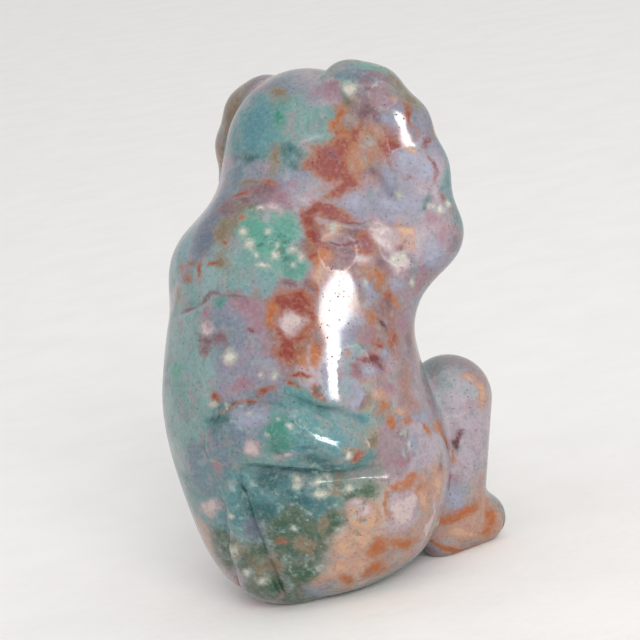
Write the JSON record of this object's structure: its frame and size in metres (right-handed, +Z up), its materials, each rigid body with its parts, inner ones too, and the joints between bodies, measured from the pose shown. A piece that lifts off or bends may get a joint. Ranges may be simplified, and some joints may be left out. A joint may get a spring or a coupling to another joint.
{
  "type": "carved stone monkey figurine",
  "caption": "Small polished stone figurine of a squatting monkey with both hands to its head and its tail curled up its back, flat underneath so that it stands.",
  "frame": {"origin": "on the surface that the figurine stands on, under the middle of its seat", "axes": "+Z up, the monkey faces -Y, its right side is at -X"},
  "size_m": [0.0255, 0.028, 0.0427],
  "materials": {
    "jasper": "mottled teal, lavender-grey and rust jasper, hand-polished to a gloss"
  },
  "bodies": {
    "root": {"monkey_carving": "jasper"}
  },
  "joints": []
}
